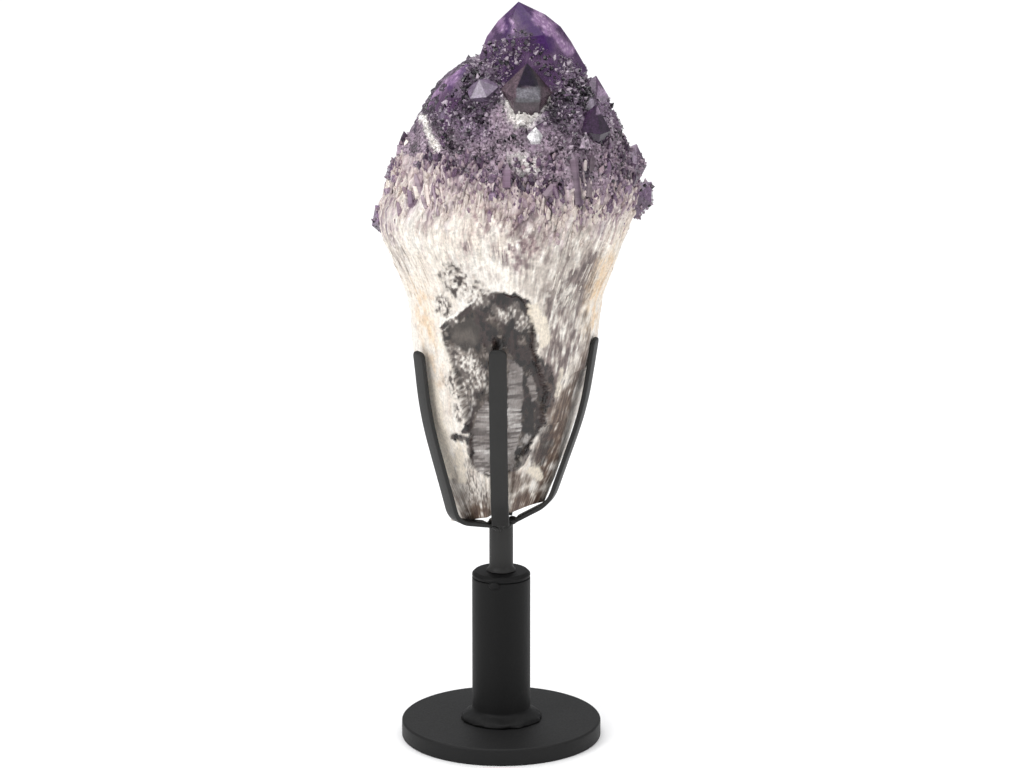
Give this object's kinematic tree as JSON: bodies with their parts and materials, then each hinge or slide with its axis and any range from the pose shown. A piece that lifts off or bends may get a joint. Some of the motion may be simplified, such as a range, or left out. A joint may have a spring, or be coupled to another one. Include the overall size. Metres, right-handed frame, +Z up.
{
  "type": "amethyst point on metal stand",
  "caption": "Tall amethyst quartz cluster with a crystal point, cradled upright by four bent flat straps on a round rod, post and disc base of black coated steel.",
  "frame": {"origin": "centre of the disc's underside, on the axis of the post", "axes": "+Z up along the post, -Y towards the front, +X to the right seen from the front"},
  "size_m": [0.1505, 0.1239, 0.4066],
  "materials": {
    "black_steel": "satin black powder coat with a fine grain",
    "amethyst": "natural quartz, purple crystals above a cream and grey matrix"
  },
  "bodies": {
    "root": {"base_disc": "black_steel", "post_tube": "black_steel", "post_cap": "black_steel", "rod": "black_steel", "prong_front": "black_steel", "prong_left": "black_steel", "prong_right": "black_steel", "prong_back": "black_steel", "amethyst_point": "amethyst"}
  },
  "joints": []
}
